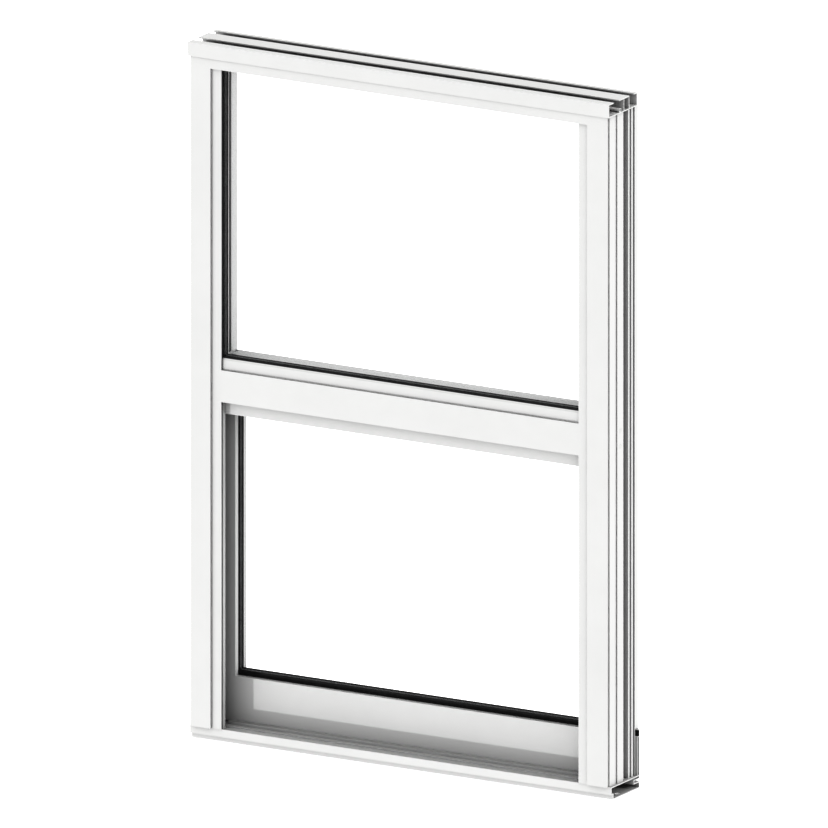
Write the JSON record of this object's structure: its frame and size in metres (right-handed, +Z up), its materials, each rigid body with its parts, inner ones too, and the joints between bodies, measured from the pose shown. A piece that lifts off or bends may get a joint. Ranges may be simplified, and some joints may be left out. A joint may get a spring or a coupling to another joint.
{
  "type": "sash window",
  "caption": "White aluminium single-hung sash window with its frame; the upper glass is fixed and the lower sash slides up on hidden spiral balances.",
  "frame": {"origin": "centre of the bounding box's base, under the sill", "axes": "+Z up, -Y towards the outdoor side, +X to the right seen from outdoors"},
  "size_m": [0.809, 0.106, 1.2],
  "materials": {
    "white_coat": "satin white powder coat on aluminium extrusions",
    "glass": "clear float glass",
    "black_rubber": "matte black gasket rubber",
    "spacer": "dark warm-edge spacer",
    "steel": "zinc-plated steel",
    "nylon": "grey nylon",
    "white_plastic": "white moulded plastic",
    "pile": "grey woven pile"
  },
  "bodies": {
    "frame": {"head": "white_coat", "sill": "white_coat", "left_jamb": "white_coat", "right_jamb": "white_coat", "meeting_rail": "white_coat", "head_adapter": "white_coat", "glazing_strip": "white_coat", "fixed_outer_pane": "glass", "fixed_inner_pane": "glass", "fixed_spacer": "spacer", "fixed_outer_gaskets": "black_rubber", "fixed_inner_gaskets": "black_rubber", "fixed_left_bead": "white_coat", "fixed_right_bead": "white_coat", "fixed_top_bead": "white_coat", "fixed_bottom_bead": "white_coat", "fixed_setting_blocks": "black_rubber", "left_pocket_cover": "white_coat", "right_pocket_cover": "white_coat", "left_balance_tube": "steel", "right_balance_tube": "steel", "left_stop": "nylon", "right_stop": "nylon", "left_keeper": "steel", "right_keeper": "steel", "jamb_pile_seals": "pile", "rail_pile_seal": "pile", "sill_bulb_seal": "black_rubber", "head_screws": "steel", "sill_screws": "steel", "rail_screws": "steel", "jamb_plugs": "white_plastic"},
    "lower_sash": {"left_stile": "white_coat", "right_stile": "white_coat", "top_rail": "white_coat", "bottom_rail": "white_coat", "sash_outer_pane": "glass", "sash_inner_pane": "glass", "sash_spacer": "spacer", "sash_outer_gaskets": "black_rubber", "sash_inner_gaskets": "black_rubber", "sash_left_bead": "white_coat", "sash_right_bead": "white_coat", "sash_top_bead": "white_coat", "sash_bottom_bead": "white_coat", "sash_setting_blocks": "black_rubber", "sash_floor_seal": "black_rubber", "sash_screws": "steel", "left_guides": "nylon", "right_guides": "nylon", "left_balance_rod": "steel", "right_balance_rod": "steel", "left_rod_bracket": "steel", "right_rod_bracket": "steel", "left_latch_case": "white_plastic", "right_latch_case": "white_plastic", "pull_bar": "white_coat", "pull_screws": "steel"},
    "left_latch": {"left_latch_bolt": "steel"},
    "right_latch": {"right_latch_bolt": "steel"}
  },
  "joints": [
    {"name": "sash_slide", "type": "slide", "parent": "frame", "child": "lower_sash", "axis": [0, 0, 1], "range_m": [0, 0.46]},
    {"name": "left_latch_slide", "type": "slide", "parent": "lower_sash", "child": "left_latch", "axis": [-1, 0, 0], "range_m": [0, 0.008]},
    {"name": "right_latch_slide", "type": "slide", "parent": "lower_sash", "child": "right_latch", "axis": [1, 0, 0], "range_m": [0, 0.008]}
  ]
}
